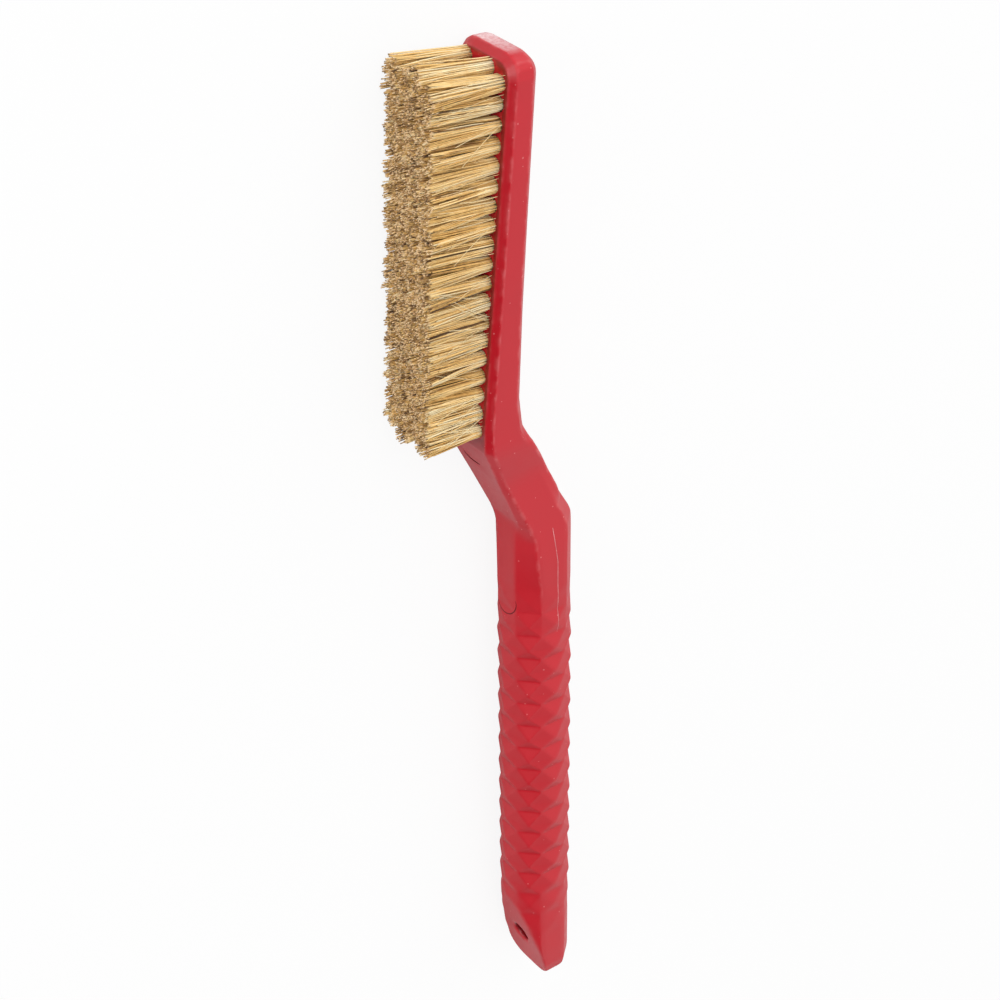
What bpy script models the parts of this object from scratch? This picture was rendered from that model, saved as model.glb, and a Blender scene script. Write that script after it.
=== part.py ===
"""Climbing brush with a faceted plastic handle and four rows of natural bristle tufts.

The brush lies on the flat side of its head. X runs across the head from the
bristle tips to the back, Y runs from the hanging hole to the tip, and Z runs
up through the width. The origin is the middle of the flat side of the head
that the brush rests on.
"""

import math

import bmesh
import bpy
import numpy as np
from mathutils import Matrix, Vector

MM = 0.001

# Grip: an octagonal bar with staggered diamond facets, whose folds sink into the bar
# and whose ridges rise out of it
GRIP_RADIUS = 7.75 * MM
GRIP_FOLD_RADIUS = 7.35 * MM
GRIP_RIDGE_RADIUS = 7.8 * MM
GRIP_SIDES = 8
GRIP_ROW_PITCH = 6.0 * MM
GRIP_RIDGE_SHARE = 0.42
GRIP_ROWS = 13
GRIP_FIRST_ROW = 27.0 * MM
GRIP_FADE_SHARES = (0.35, 0.75)

# Handle end: blunt rounded tongue, sloping face and hanging hole
END_ROUND_LENGTH = 8.5 * MM
END_ROUND_POWER = 3.5
END_ROUND_STEPS = 6
END_FLAT_SHARE = 0.3
SLOPE_LENGTH = 23.0 * MM
SLOPE_END_THICKNESS = 7.9 * MM
HANGING_HOLE_DIAMETER = 4.6 * MM
HANGING_HOLE_FROM_END = 11.0 * MM
HANGING_HOLE_SIDES = 24

# Neck: where along it each measure of the section changes from handle to head,
# as the start, the end and the easing of a straight ramp
NECK_LENGTH = 43.2 * MM
HEAD_STEP = 10.1 * MM
NECK_STEPS = 28
NECK_FRONT_SHARES = (0.375, 0.895, 0.02)
NECK_BACK_SHARES = (0.33, 0.975, 0.015)
NECK_FLAT_SHARES = (0.24, 0.91, 0.05)
NECK_BACK_FLAT_SHARES = (0.57, 0.88, 0.12)
NECK_CORNER_SHARES = (0.02, 0.39, 0.02)
NECK_CHAMFER_SHARES = (0.66, 0.92, 0.05)
NECK_BACK_CORNER_SHARES = (0.24, 0.86, 0.1)
NECK_NARROW_SHARES = (0.22, 0.55, 0.08)
NECK_WIDEN_SHARES = (0.685, 0.885, 0.05)
NECK_EDGE_CHAMFER = 0.5 * MM
NECK_WAIST = 0.5 * MM

# Head: tilted back from the handle, thinner towards its rounded tip
HEAD_TILT = math.radians(5.0)
HEAD_WIDTH = 17.3 * MM
HEAD_EDGE_CHAMFER = 1.35 * MM
HEAD_BACK_CHAMFER = 1.9 * MM
HEAD_LOW_THICKNESS = 9.1 * MM
HEAD_TIP_THICKNESS = 6.45 * MM
HEAD_THICKNESS_SHARES = ((0.0, 1.0), (0.07, 0.64), (0.34, 0.34), (0.6, 0.18), (1.0, 0.0))
TIP_CORNER_RADIUS = 4.3 * MM
TIP_ARC_STEPS = 4

# Tufts: four staggered rows, where each two neighbours share a slice of the head's
# plastic that sits in a pocket of its own
TUFT_ROWS = 4
TUFTS_PER_ROW = 19
TUFT_PITCH = 3.92 * MM
TUFT_RADIUS = 1.2 * MM
POCKET_DEPTH = 4.6 * MM
POCKET_CLEARANCE = 0.3 * MM
FIELD_END_MARGIN = 0.5 * MM

# Bristles: six strands leave each tuft, flare out and stop at the trimmed face
BRISTLE_LENGTH_TIP = 16.7 * MM
BRISTLE_LENGTH_LOW = 13.2 * MM
BRISTLE_HALF_WIDTH = 7.7 * MM
STRAND_FLARE = 0.6 * MM
STRAND_SCATTER = 0.08 * MM
TRIM_SCATTER = 0.25 * MM
STRAND_MID_SHARE = 0.5
STRAND_MID_FLARE_SHARE = 0.6
STRAND_MID_SCALE_SHARE = 0.8
STRAND_TIP_SCALE_SHARE = 0.6
SCATTER_SEED = 7

# Every cutter reaches this far past the surface that it cuts
CUTTER_REACH = 20.0 * MM
SHARP_ANGLE = math.radians(25.0)

# Worked out from the sizes above
OCTANT = math.pi / GRIP_SIDES
COLUMNS = 2 * GRIP_SIDES
GRIP_APOTHEM = GRIP_RADIUS * math.cos(OCTANT)
GRIP_HALF_FLAT = GRIP_RADIUS * math.sin(OCTANT)
GRIP_DROP = GRIP_APOTHEM - GRIP_HALF_FLAT
PLAIN_REACHES = (GRIP_APOTHEM, GRIP_RADIUS)
FOLD_REACHES = (GRIP_FOLD_RADIUS * math.cos(OCTANT), GRIP_FOLD_RADIUS)
RIDGE_REACHES = (GRIP_RIDGE_RADIUS, GRIP_RIDGE_RADIUS * math.cos(OCTANT))
GRIP_TOP = GRIP_FIRST_ROW + (GRIP_ROWS + 1) * GRIP_ROW_PITCH
NECK_TOP = GRIP_TOP + NECK_LENGTH
HALF_WIDTH = HEAD_WIDTH / 2
FRONT_HALF_FLAT = HALF_WIDTH - HEAD_EDGE_CHAMFER
BACK_HALF_FLAT = HALF_WIDTH - HEAD_BACK_CHAMFER
HEAD_FACE_LOW = GRIP_APOTHEM + HEAD_STEP
HEAD_BACK_LOW = HEAD_FACE_LOW - HEAD_LOW_THICKNESS
HEXAGON_SIDES = 6
HEXAGON_TURN = math.pi / HEXAGON_SIDES
ROW_SPACING = TUFT_PITCH * math.cos(HEXAGON_TURN)
HALF_PITCH = TUFT_PITCH / 2
FIELD_HALF_WIDTH = ROW_SPACING * (TUFT_ROWS - 1) / 2
FIELD_LENGTH = (2 * TUFTS_PER_ROW - 1) * HALF_PITCH
POCKET_RADIUS = TUFT_RADIUS + POCKET_CLEARANCE
LAST_POCKET_END = FIELD_LENGTH + POCKET_RADIUS * math.cos(HEXAGON_TURN)
TIP_FLAT_END = NECK_TOP + (LAST_POCKET_END + FIELD_END_MARGIN) * math.cos(HEAD_TILT)
HEAD_END = TIP_FLAT_END + HEAD_EDGE_CHAMFER
TIP_ARC_START = HEAD_END - TIP_CORNER_RADIUS
ORIGIN_ALONG = (NECK_TOP + TIP_ARC_START) / 2


def blend(start, end, share):
    """Return the value that lies the given share of the way from start to end."""
    return start + (end - start) * share


def ramp(share, shares):
    """Return a straight ramp from 0 to 1 whose two corners are eased by parabolas."""
    start, end, ease = shares
    if share > (start + end) / 2:
        return 1.0 - ramp(start + end - share, shares)
    slope = 1.0 / (end - start)
    if share <= start - ease:
        return 0.0
    if share < start + ease:
        return slope * (share - start + ease) ** 2 / (4 * ease)
    return slope * (share - start)


def head_face(along):
    """Return how far in front of the handle's axis the tufted face lies."""
    return HEAD_FACE_LOW - (along - NECK_TOP) * math.tan(HEAD_TILT)


def head_back(along):
    """Return the back of the head, from the face and the falling thickness."""
    progress = (along - NECK_TOP) / (TIP_ARC_START - NECK_TOP)
    shares = np.array(HEAD_THICKNESS_SHARES)
    share = float(np.interp(progress, shares[:, 0], shares[:, 1]))
    return head_face(along) - blend(HEAD_TIP_THICKNESS, HEAD_LOW_THICKNESS, share)


SIDE_FRONT = head_face(ORIGIN_ALONG) - HEAD_EDGE_CHAMFER
SIDE_BACK = head_back(ORIGIN_ALONG) + HEAD_BACK_CHAMFER
ORIGIN_FORWARD = (SIDE_FRONT + SIDE_BACK) / 2


def place(along, forward, across):
    """Turn a place on the brush into the frame of the part."""
    return Vector((ORIGIN_FORWARD - forward, along - ORIGIN_ALONG, across + HALF_WIDTH))


def face_frame():
    """Return the frame of the tufted face: across it, along it and out of it."""
    origin = place(NECK_TOP, HEAD_FACE_LOW, 0.0)
    lean, upright = math.sin(HEAD_TILT), math.cos(HEAD_TILT)
    return Matrix(
        (
            (0.0, lean, -upright, origin.x),
            (0.0, upright, lean, origin.y),
            (1.0, 0.0, 0.0, origin.z),
            (0.0, 0.0, 0.0, 1.0),
        )
    )


def full_ring(alongs, forwards, acrosses):
    """Mirror nine points of one half of a section into a whole ring."""
    half = list(zip(alongs, forwards, acrosses))
    return half + [(along, forward, -across) for along, forward, across in half[-2:0:-1]]


def halfway(first, second):
    """Return the mean of two values."""
    return (first + second) / 2


def corner_ring(along, front, front_flat, front_side, side, back_side, back, back_flat):
    """Make a ring from its four corners, with a point in the middle of each flat."""
    forwards = [front, front, halfway(front, front_side), front_side]
    forwards += [halfway(front_side, back_side), back_side, halfway(back_side, back)]
    forwards += [back, back]
    acrosses = [0.0, front_flat, halfway(front_flat, side), side, side, side]
    acrosses += [halfway(side, back_flat), back_flat, 0.0]
    return full_ring([along] * len(forwards), forwards, acrosses)


def grip_ring(along, reaches=PLAIN_REACHES, share=1.0, width_share=1.0):
    """Make an octagonal ring whose flats and corners reach out as far as they are told."""
    ring = []
    for column in range(COLUMNS):
        reach = blend(PLAIN_REACHES[column % 2], reaches[column % 2], share)
        angle = column * OCTANT
        ring.append((along, reach * math.cos(angle), reach * math.sin(angle) * width_share))
    return ring


def end_rings():
    """Round off the end of the handle from its small flat to its full width."""
    rings = []
    for step in range(END_ROUND_STEPS + 1):
        width_share = blend(END_FLAT_SHARE, 1.0, math.sin(math.pi / 2 * step / END_ROUND_STEPS))
        along_share = 1.0 - (1.0 - width_share**END_ROUND_POWER) ** (1.0 / END_ROUND_POWER)
        ring = grip_ring(along_share * END_ROUND_LENGTH, width_share=width_share)
        rings.append((ring, False))
    return rings


def facet_share(row):
    """Return how far a row's facets stand out, less in the rows at either end."""
    from_end = min(row + len(GRIP_FADE_SHARES), GRIP_ROWS - row)
    if from_end < 0:
        return 0.0
    return dict(enumerate(GRIP_FADE_SHARES)).get(from_end, 1.0)


def grip_rings():
    """List the grip's rings: a fold between two rows and a ridge along each row."""
    rings = []
    for row in range(-len(GRIP_FADE_SHARES), GRIP_ROWS + 1):
        fold = GRIP_FIRST_ROW + row * GRIP_ROW_PITCH
        ridge = fold + GRIP_RIDGE_SHARE * GRIP_ROW_PITCH
        fold_share = min(facet_share(row - 1), facet_share(row))
        rings.append((grip_ring(fold, FOLD_REACHES, fold_share), False))
        rings.append((grip_ring(ridge, RIDGE_REACHES, facet_share(row)), True))
    rings.append((grip_ring(GRIP_TOP), False))
    return rings


def neck_rings():
    """Blend from the octagonal handle to the wide, flat section of the head."""
    rings = []
    for step in range(1, NECK_STEPS):
        share = step / NECK_STEPS
        front = blend(GRIP_APOTHEM, HEAD_FACE_LOW, ramp(share, NECK_FRONT_SHARES))
        back = blend(-GRIP_APOTHEM, HEAD_BACK_LOW, ramp(share, NECK_BACK_SHARES))
        corner = blend(GRIP_DROP, NECK_EDGE_CHAMFER, ramp(share, NECK_CORNER_SHARES))
        widening = ramp(share, NECK_WIDEN_SHARES)
        waist = NECK_WAIST * (ramp(share, NECK_NARROW_SHARES) - widening)
        ring = corner_ring(
            GRIP_TOP + share * NECK_LENGTH,
            front,
            blend(GRIP_HALF_FLAT, FRONT_HALF_FLAT, ramp(share, NECK_FLAT_SHARES)),
            front - blend(corner, HEAD_EDGE_CHAMFER, ramp(share, NECK_CHAMFER_SHARES)),
            blend(GRIP_APOTHEM, HALF_WIDTH, widening) - waist,
            back + blend(GRIP_DROP, HEAD_BACK_CHAMFER, ramp(share, NECK_BACK_CORNER_SHARES)),
            back,
            blend(GRIP_HALF_FLAT, BACK_HALF_FLAT, ramp(share, NECK_BACK_FLAT_SHARES)),
        )
        rings.append((ring, False))
    return rings


def head_rings():
    """Make the straight stretch of the head."""
    rings = []
    for share, _ in HEAD_THICKNESS_SHARES:
        along = blend(NECK_TOP, TIP_ARC_START, share)
        front = head_face(along)
        back = head_back(along)
        ring = corner_ring(
            along,
            front,
            FRONT_HALF_FLAT,
            front - HEAD_EDGE_CHAMFER,
            HALF_WIDTH,
            back + HEAD_BACK_CHAMFER,
            back,
            BACK_HALF_FLAT,
        )
        rings.append((ring, False))
    return rings


def tip_rings():
    """Carry the section round the corners of the tip."""
    rings = []
    centre = HALF_WIDTH - TIP_CORNER_RADIUS
    front_radius = TIP_CORNER_RADIUS - HEAD_EDGE_CHAMFER
    back_radius = TIP_CORNER_RADIUS - HEAD_BACK_CHAMFER
    for step in range(1, TIP_ARC_STEPS + 1):
        angle = math.pi / 2 * step / TIP_ARC_STEPS
        ahead, beside = math.sin(angle), math.cos(angle)
        rim = TIP_ARC_START + TIP_CORNER_RADIUS * ahead
        front_along = TIP_ARC_START + front_radius * ahead
        front_side = head_face(rim) - HEAD_EDGE_CHAMFER
        back_side = head_back(rim) + HEAD_BACK_CHAMFER
        lean = (front_side - back_side) * math.tan(HEAD_TILT) * ahead
        back_along = TIP_ARC_START + back_radius * ahead - lean
        ring = corner_ring(
            rim,
            head_face(front_along),
            centre + front_radius * beside,
            front_side,
            centre + TIP_CORNER_RADIUS * beside,
            back_side,
            head_back(back_along),
            centre + back_radius * beside,
        )
        back_rim = rim - lean
        alongs = [front_along, front_along, halfway(front_along, rim), rim]
        alongs += [halfway(rim, back_rim), back_rim, halfway(back_rim, back_along)]
        alongs += [back_along, back_along]
        alongs += alongs[-2:0:-1]
        rings.append(([(a, point[1], point[2]) for a, point in zip(alongs, ring)], False))
    return rings


def skin_rings(mesh, lower, upper, lower_raised, upper_raised):
    """Join two rings, folding each grip facet along its raised ridge."""
    for column in range(COLUMNS):
        beyond = (column + 1) % COLUMNS
        first, second, third, fourth = lower[column], lower[beyond], upper[beyond], upper[column]
        if lower_raised == upper_raised:
            mesh.faces.new((first, second, third, fourth))
        elif lower_raised == (column % 2 == 0):
            mesh.faces.new((first, second, third))
            mesh.faces.new((first, third, fourth))
        else:
            mesh.faces.new((first, second, fourth))
            mesh.faces.new((second, third, fourth))


def new_object(name, mesh, material=None):
    """Put a finished bmesh in the scene as a named object."""
    data = bpy.data.meshes.new(name)
    bmesh.ops.recalc_face_normals(mesh, faces=mesh.faces)
    mesh.to_mesh(data)
    mesh.free()
    data.shade_smooth()
    data.set_sharp_from_angle(angle=SHARP_ANGLE)
    if material:
        data.materials.append(material)
    made = bpy.data.objects.new(name, data)
    bpy.context.scene.collection.objects.link(made)
    return made


def cut(target, cutter):
    """Take a cutter's shape away from an object and leave the cutter as wire."""
    cutter.hide_render = True
    cutter.display_type = "WIRE"
    modifier = target.modifiers.new(cutter.name, "BOOLEAN")
    modifier.operation = "DIFFERENCE"
    modifier.solver = "EXACT"
    modifier.object = cutter


def new_material(name, colour, roughness):
    """Make a plain Principled material."""
    material = bpy.data.materials.new(name)
    material.use_nodes = True
    shader = material.node_tree.nodes["Principled BSDF"]
    shader.inputs["Base Color"].default_value = (*colour, 1.0)
    shader.inputs["Roughness"].default_value = roughness
    shader.inputs["Metallic"].default_value = 0.0
    material.diffuse_color = (*colour, 1.0)
    return material


def make_handle(material):
    """Build the one-piece handle, neck and head, then cut its openings."""
    mesh = bmesh.new()
    rings = end_rings() + grip_rings() + neck_rings() + head_rings() + tip_rings()
    made = [([mesh.verts.new(place(*point)) for point in ring], raised) for ring, raised in rings]
    for (lower, lower_raised), (upper, upper_raised) in zip(made, made[1:]):
        skin_rings(mesh, lower, upper, lower_raised, upper_raised)
    mesh.faces.new(made[0][0])
    last = made[-1][0]
    for columns in (range(-3, 4), (3, 4, 5, 11, 12, 13), range(5, 12)):
        mesh.faces.new([last[column] for column in columns])
    handle = new_object("handle", mesh, material)
    cut(handle, make_pocket_cutter())
    cut(handle, make_slope_cutter())
    cut(handle, make_hanging_hole_cutter())
    return handle


def add_prism(mesh, outline, bottom, top):
    """Add a prism over an outline, open at its top, and return its top corners."""
    low = [mesh.verts.new((*point, bottom)) for point in outline]
    high = [mesh.verts.new((*point, top)) for point in outline]
    for index in range(len(outline)):
        beyond = (index + 1) % len(outline)
        mesh.faces.new((low[index], low[beyond], high[beyond], high[index]))
    mesh.faces.new(low)
    return high


def make_slope_cutter():
    """Make the wedge whose slanting side is the sloping flat of the handle's end."""
    end_forward = SLOPE_END_THICKNESS - GRIP_APOTHEM
    steepness = (GRIP_APOTHEM - end_forward) / SLOPE_LENGTH
    start = place(-CUTTER_REACH, end_forward - CUTTER_REACH * steepness, 0.0)
    finish_along = SLOPE_LENGTH + CUTTER_REACH
    finish = place(finish_along, end_forward + finish_along * steepness, 0.0)
    mesh = bmesh.new()
    outline = ((start.x, start.y), (finish.x, finish.y), (finish.x, start.y))
    mesh.faces.new(add_prism(mesh, outline, -CUTTER_REACH, HEAD_WIDTH + CUTTER_REACH))
    return new_object("slope_cutter", mesh)


def make_hanging_hole_cutter():
    """Make the rod that cuts the hanging hole from front to back."""
    mesh = bmesh.new()
    bmesh.ops.create_cone(
        mesh,
        cap_ends=True,
        segments=HANGING_HOLE_SIDES,
        radius1=HANGING_HOLE_DIAMETER / 2,
        radius2=HANGING_HOLE_DIAMETER / 2,
        depth=2 * CUTTER_REACH,
    )
    cutter = new_object("hanging_hole_cutter", mesh)
    cutter.rotation_euler = (0.0, math.pi / 2, 0.0)
    cutter.location = place(HANGING_HOLE_FROM_END, 0.0, 0.0)
    return cutter


def pair_centres(half, number):
    """Return the centres of a pair: a tuft of one row and its neighbour in the next."""
    along = number * TUFT_PITCH
    across = FIELD_HALF_WIDTH - half * 2 * ROW_SPACING
    return (across, along), (across - ROW_SPACING, along + HALF_PITCH)


def hexagon(centre, radius):
    """Return the corners of a tuft's hexagon, whose flats face its neighbours."""
    corners = []
    for side in range(HEXAGON_SIDES):
        angle = (2 * side + 1) * HEXAGON_TURN
        corners.append((centre[0] + radius * math.sin(angle), centre[1] + radius * math.cos(angle)))
    return corners


def pair_outline(centres, radius):
    """Return the outline that wraps two neighbouring hexagons."""
    first, second = hexagon(centres[0], radius), hexagon(centres[1], radius)
    return first[:4] + second[3:] + second[:1]


def make_pocket_cutter():
    """Make one cutter with a prism for the pocket of each slice."""
    mesh = bmesh.new()
    for half in range(TUFT_ROWS // 2):
        for number in range(TUFTS_PER_ROW):
            outline = pair_outline(pair_centres(half, number), POCKET_RADIUS)
            mesh.faces.new(add_prism(mesh, outline, -POCKET_DEPTH, CUTTER_REACH))
    cutter = new_object("pocket_cutter", mesh)
    cutter.matrix_world = face_frame()
    return cutter


def tip_shift(across):
    """Return how far a tuft's tip moves outwards when the rows fan out."""
    outer_tip = BRISTLE_HALF_WIDTH - TUFT_RADIUS - STRAND_FLARE
    return across * (outer_tip / FIELD_HALF_WIDTH - 1.0)


def grow_strand(mesh, wedge, centre, reach, scatter):
    """Extrude one wedge of a tuft's root into a flared, tapered strand."""
    root = wedge.calc_center_median()
    outward = root - Vector((*centre, root.z))
    spread = outward * (STRAND_FLARE / outward.length)
    spread += Vector((tip_shift(centre[0]), 0.0, 0.0))
    spread += Vector((scatter[0], scatter[1], 0.0)) * STRAND_SCATTER
    height = reach + scatter[2] * TRIM_SCATTER
    stages = (
        (STRAND_MID_SHARE, STRAND_MID_FLARE_SHARE, STRAND_MID_SCALE_SHARE),
        (1.0, 1.0, STRAND_TIP_SCALE_SHARE),
    )
    middle, scale = root, 1.0
    for height_share, flare_share, scale_share in stages:
        wedge = bmesh.ops.extrude_discrete_faces(mesh, faces=[wedge])["faces"][0]
        ahead = root + spread * flare_share + Vector((0.0, 0.0, height * height_share))
        for vert in wedge.verts:
            vert.co = ahead + (vert.co - middle) * (scale_share / scale)
        middle, scale = ahead, scale_share


def add_slice(mesh, centres):
    """Add the slice under two tufts and return the hexagon where each tuft stands."""
    outline = pair_outline(centres, TUFT_RADIUS)
    top = add_prism(mesh, outline, POCKET_CLEARANCE - POCKET_DEPTH, 0.0)
    first, second = hexagon(centres[0], TUFT_RADIUS), hexagon(centres[1], TUFT_RADIUS)
    facing = [mesh.verts.new((*point, 0.0)) for point in first[4:] + second[1:3]]
    mesh.faces.new((top[3], *facing[:2], top[0], top[7], *facing[2:], top[4]))
    roots = mesh.faces.new((*top[:4], *facing[:2])), mesh.faces.new((*top[4:], *facing[2:]))
    bmesh.ops.recalc_face_normals(mesh, faces=mesh.faces)
    return roots


def make_tuft_pair(name, half, number, material, random):
    """Build two tufts of six strands each on the slice that they share."""
    centres = pair_centres(half, number)
    mesh = bmesh.new()
    for root, centre in zip(add_slice(mesh, centres), centres):
        reach = blend(BRISTLE_LENGTH_LOW, BRISTLE_LENGTH_TIP, centre[1] / FIELD_LENGTH)
        for wedge in bmesh.ops.poke(mesh, faces=[root])["faces"]:
            grow_strand(mesh, wedge, centre, reach, random.uniform(-1.0, 1.0, 3))
    pair = new_object(name, mesh, material)
    pair.matrix_world = face_frame()
    return pair


def main():
    """Clear the scene and build every piece of the brush."""
    for thing in list(bpy.data.objects):
        bpy.data.objects.remove(thing, do_unlink=True)
    make_handle(new_material("handle_red", (0.56, 0.03, 0.045), 0.42))
    straw = new_material("bristle_straw", (0.62, 0.43, 0.21), 0.6)
    random = np.random.RandomState(SCATTER_SEED)
    for half in range(TUFT_ROWS // 2):
        for number in range(TUFTS_PER_ROW):
            name = f"tuft_pair_{'ab'[half]}{number + 1:02d}"
            make_tuft_pair(name, half, number, straw, random)


main()
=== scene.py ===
import contextlib
import math

import bmesh
import bpy
import numpy as np
from mathutils import Matrix, Vector


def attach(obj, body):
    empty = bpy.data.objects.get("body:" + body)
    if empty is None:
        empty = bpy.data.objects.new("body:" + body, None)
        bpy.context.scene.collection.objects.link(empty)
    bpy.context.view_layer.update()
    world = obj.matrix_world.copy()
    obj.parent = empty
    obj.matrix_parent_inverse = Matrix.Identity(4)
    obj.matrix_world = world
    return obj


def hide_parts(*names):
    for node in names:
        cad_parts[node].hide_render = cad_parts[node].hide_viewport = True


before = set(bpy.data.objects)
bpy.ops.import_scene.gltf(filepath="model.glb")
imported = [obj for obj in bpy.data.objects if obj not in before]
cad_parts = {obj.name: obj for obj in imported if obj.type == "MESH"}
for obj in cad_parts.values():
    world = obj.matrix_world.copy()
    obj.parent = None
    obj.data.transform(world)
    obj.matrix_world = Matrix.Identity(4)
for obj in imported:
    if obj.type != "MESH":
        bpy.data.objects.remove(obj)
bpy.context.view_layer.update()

bl_info = {
    "name": "Climbing Brush",
    "version": (1, 0, 0),
    "blender": (4, 5, 0),
    "location": "3D View > Sidebar > Brush",
    "description": "Builds a climbing brush: moulded handle, bristle tufts and a plain studio",
    "category": "Mesh",
}

MM = 0.001
BODY = "root"
HANDLE = "handle"

# The middle of the brush's width, in millimetres above the floor
MIDDLE_HEIGHT = 8.65

# The tufted face: its lower end in the middle of the head, and its tilt
FACE_LOW_END = Vector((-6.3803, -35.5430, MIDDLE_HEIGHT)) * MM
FACE_TILT = math.radians(5.0)
FACE_NORMAL = Vector((-math.cos(FACE_TILT), math.sin(FACE_TILT), 0.0))

# The field of tufts
TUFT_ROWS = 4
TUFTS_PER_ROW = 19
TUFT_PITCH = 3.92 * MM
ROW_SPACING = TUFT_PITCH * math.cos(math.pi / 6)
FIELD_HALF_WIDTH = ROW_SPACING * (TUFT_ROWS - 1) / 2
FIELD_LENGTH = (2 * TUFTS_PER_ROW - 1) * TUFT_PITCH / 2
BRISTLE_LENGTH_LOW = 13.2 * MM
BRISTLE_LENGTH_TIP = 16.7 * MM
GOLDEN_ANGLE = math.pi * (3 - math.sqrt(5))

# Boxes on the tufted face, as half their width, their ends along the face and their ends
# out of it: the pockets of the CAD head, the flat that they open in, and its lower end
FLAT_HALF_WIDTH = 7.4 * MM
POCKETS = (
    FIELD_HALF_WIDTH + 1.7 * MM,
    (-1.45 * MM, FIELD_LENGTH + 1.4 * MM),
    (-4.7 * MM, -0.3 * MM),
)
FLAT = (FLAT_HALF_WIDTH, (-2.9 * MM, FIELD_LENGTH + 2.1 * MM), (-0.32 * MM, math.inf))
FLAT_LOW_END = (FLAT_HALF_WIDTH, (-0.2 * MM, 0.2 * MM), (-0.2 * MM, 0.2 * MM))
# The least share of the face's own normal in a polygon of its flat
LEVEL = 0.97

# Places along the handle and across it are in millimetres from here on. A ramp is a pair:
# where its values are known, and the values there

# The real neck's section: half its front flat, how far the edge beside the flat cuts into
# the front, and how far the back's edges are cut off
NECK_ROWS = (-79.0, -38.0)
NECK_ROW_STEP = 0.25
NECK_PLACES = (-79.0, -76.0, -70.0, -66.6, -65.4, -64.2, -62.3, -56.0, -52.0, -48.0, -44.0, -40.0)
NECK_FLATS = (2.97, 2.97, 2.97, 2.97, 2.97, 3.0, 4.5, 5.0, 5.4, 6.0, 6.6, 7.1)
NECK_CORNERS = (4.19, 3.7, 2.9, 2.75, 2.2, 1.6, 1.1, 1.0, 1.1, 1.2, 1.3, 1.35)
NECK_BACK_EDGE = 0.5
# Ramps of how far the front and the back take that section
NECK_FADE = ((-79.0, -74.0, -44.0, -39.0), (0.0, 1.0, 1.0, 0.0))
NECK_BACK_FADE = (
    (-59.6, -57.6, -55.4, -52.6, -50.7, -47.6, -45.0, -43.0, -41.0, -38.0),
    (0.0, 0.4, 0.62, 0.72, 0.75, 0.92, 1.0, 0.94, 0.8, 0.0),
)
# How far between its front and its back the neck is as wide as it gets
NECK_WIDEST = 0.45

# The stretches that are smoothed, by the setting that holds how often, and the two rows
# between which each end of a stretch fades in
STRETCHES = (
    ("facet_passes", ()),
    ("neck_passes", ((-66.0, -58.0), (-38.0, -46.0))),
    ("plain_passes", ((-84.0, -78.0), (-62.0, -66.0))),
    ("butt_passes", ((-158.0, -166.0), (-186.0, -182.0))),
)
# Where the smoothed surface is pushed out again: along the handle, and by how steep it is
PUSH_FADE = ((-68.0, -62.0, -42.0, -37.0), (1.0, 0.0, 0.0, 1.0))
PUSH_TURNS = ((0.8, 0.98), (1.0, 0.0))

# Lines that the mould left: an arc on the neck's front and a ring on the grip's, as places
# along and heights, and a thin raised line on both sides, as places across and along
NECK_ARC = ((-45.14, 5.51), (-45.75, 5.72), (-46.23, 5.97), (-46.5, 6.6), (-46.62, 7.42))
NECK_ARC += ((-46.66, 8.1), (-46.64, 8.76), (-46.57, 9.5), (-46.44, 10.17))
RING_MIDDLE = (-83.1, 8.6)
RING_RADIUS = 3.25
RING_TURNS = (70.0, 326.0, 8.0)
LINE_END_WIDTH = 0.3
LINE_END_GROWTH = 4
PARTING_START = ((10.39, -64.29), (10.82, -67.11), (11.27, -70.22), (11.66, -73.11))
PARTING_END = -92.6
PARTING_STEP = 0.4
PARTING_WIDTHS = ((0.0, 0.8, 1.0), (1.0, 0.9, 0.3))
PARTING_WAVE = 0.12
PARTING_WAVES = 40.0
PARTING_HIGHLIGHT = 0.4
# Where the straight lines start that find the surface
SIGHT_FRONT = -30.0
SIGHT_FAR = 40.0
SIGHT_BELOW = -0.5

# Wear of the edges, with a painted highlight: how much of it the facets' edges have, and where
# the head's rim and its painted highlight are, by how far a corner's normal turns to the tufted
# face and to its sides
FACET_WEAR_AND_HIGHLIGHT = 0.15
WEAR_AND_HIGHLIGHT_ROWS = ((-92.0, -82.0), (FACET_WEAR_AND_HIGHLIGHT, 1.0))
HEAD_ROWS = ((-42.0, -37.0), (0.0, 1.0))
RIM_TURN = 0.33
RIM_BAND = ((0.051, 0.221), (1.0, 0.0))
RIM_SIDE = 0.5
FOLD_PASSES = 3
# Chalky scuff and a painted highlight on the tip's end, and a painted sheen on the neck's front
CHALK_AND_HIGHLIGHT_ROW = 30.0
CHALK_AND_HIGHLIGHT_TURNS = ((0.9, 0.99), (0.0, 1.0))
CHALK_AND_HIGHLIGHT_HEIGHTS = ((10.0, 14.5), (1.0, 0.0))
NECK_SHEEN = 0.09
NECK_FRONT_NORMAL = (-0.863, -0.506, 0.0)
NECK_SHEEN_TURNS = ((0.93, 0.98), (0.0, NECK_SHEEN))
NECK_SHEEN_ROWS = ((-66.0, -62.0, -44.0, -40.0), (0.0, 1.0, 1.0, 0.0))
# Shade in the hanging hole, on the tufted face and on the smooth chamfer round it
HANGING_HOLE = (-178.7, MIDDLE_HEIGHT)
HANGING_HOLE_REACH = 3.2
BORE_TURNS = ((0.25, 0.75), (1.0, 0.0))
FLAT_TURNS = ((0.85, 0.97), (0.0, 1.0))
CHAMFER_SHADE = 0.22
CHAMFER_TURNS = ((0.58, 0.68), (0.0, CHAMFER_SHADE))

# The plastic: how strongly wear with its painted highlight, specks and painted shade tint it
WEAR_AND_HIGHLIGHT_TINT = 0.24
SPECK_TINT = 0.42
PAINTED_SHADE_TINT = 0.7
# A cell holds a speck when its draw passes a bar that wear and dusty patches lower
SPECK_BAR = 0.96
SPECKS_ON_EDGES = 0.55
SPECKS_IN_PATCHES = 0.12
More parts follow.
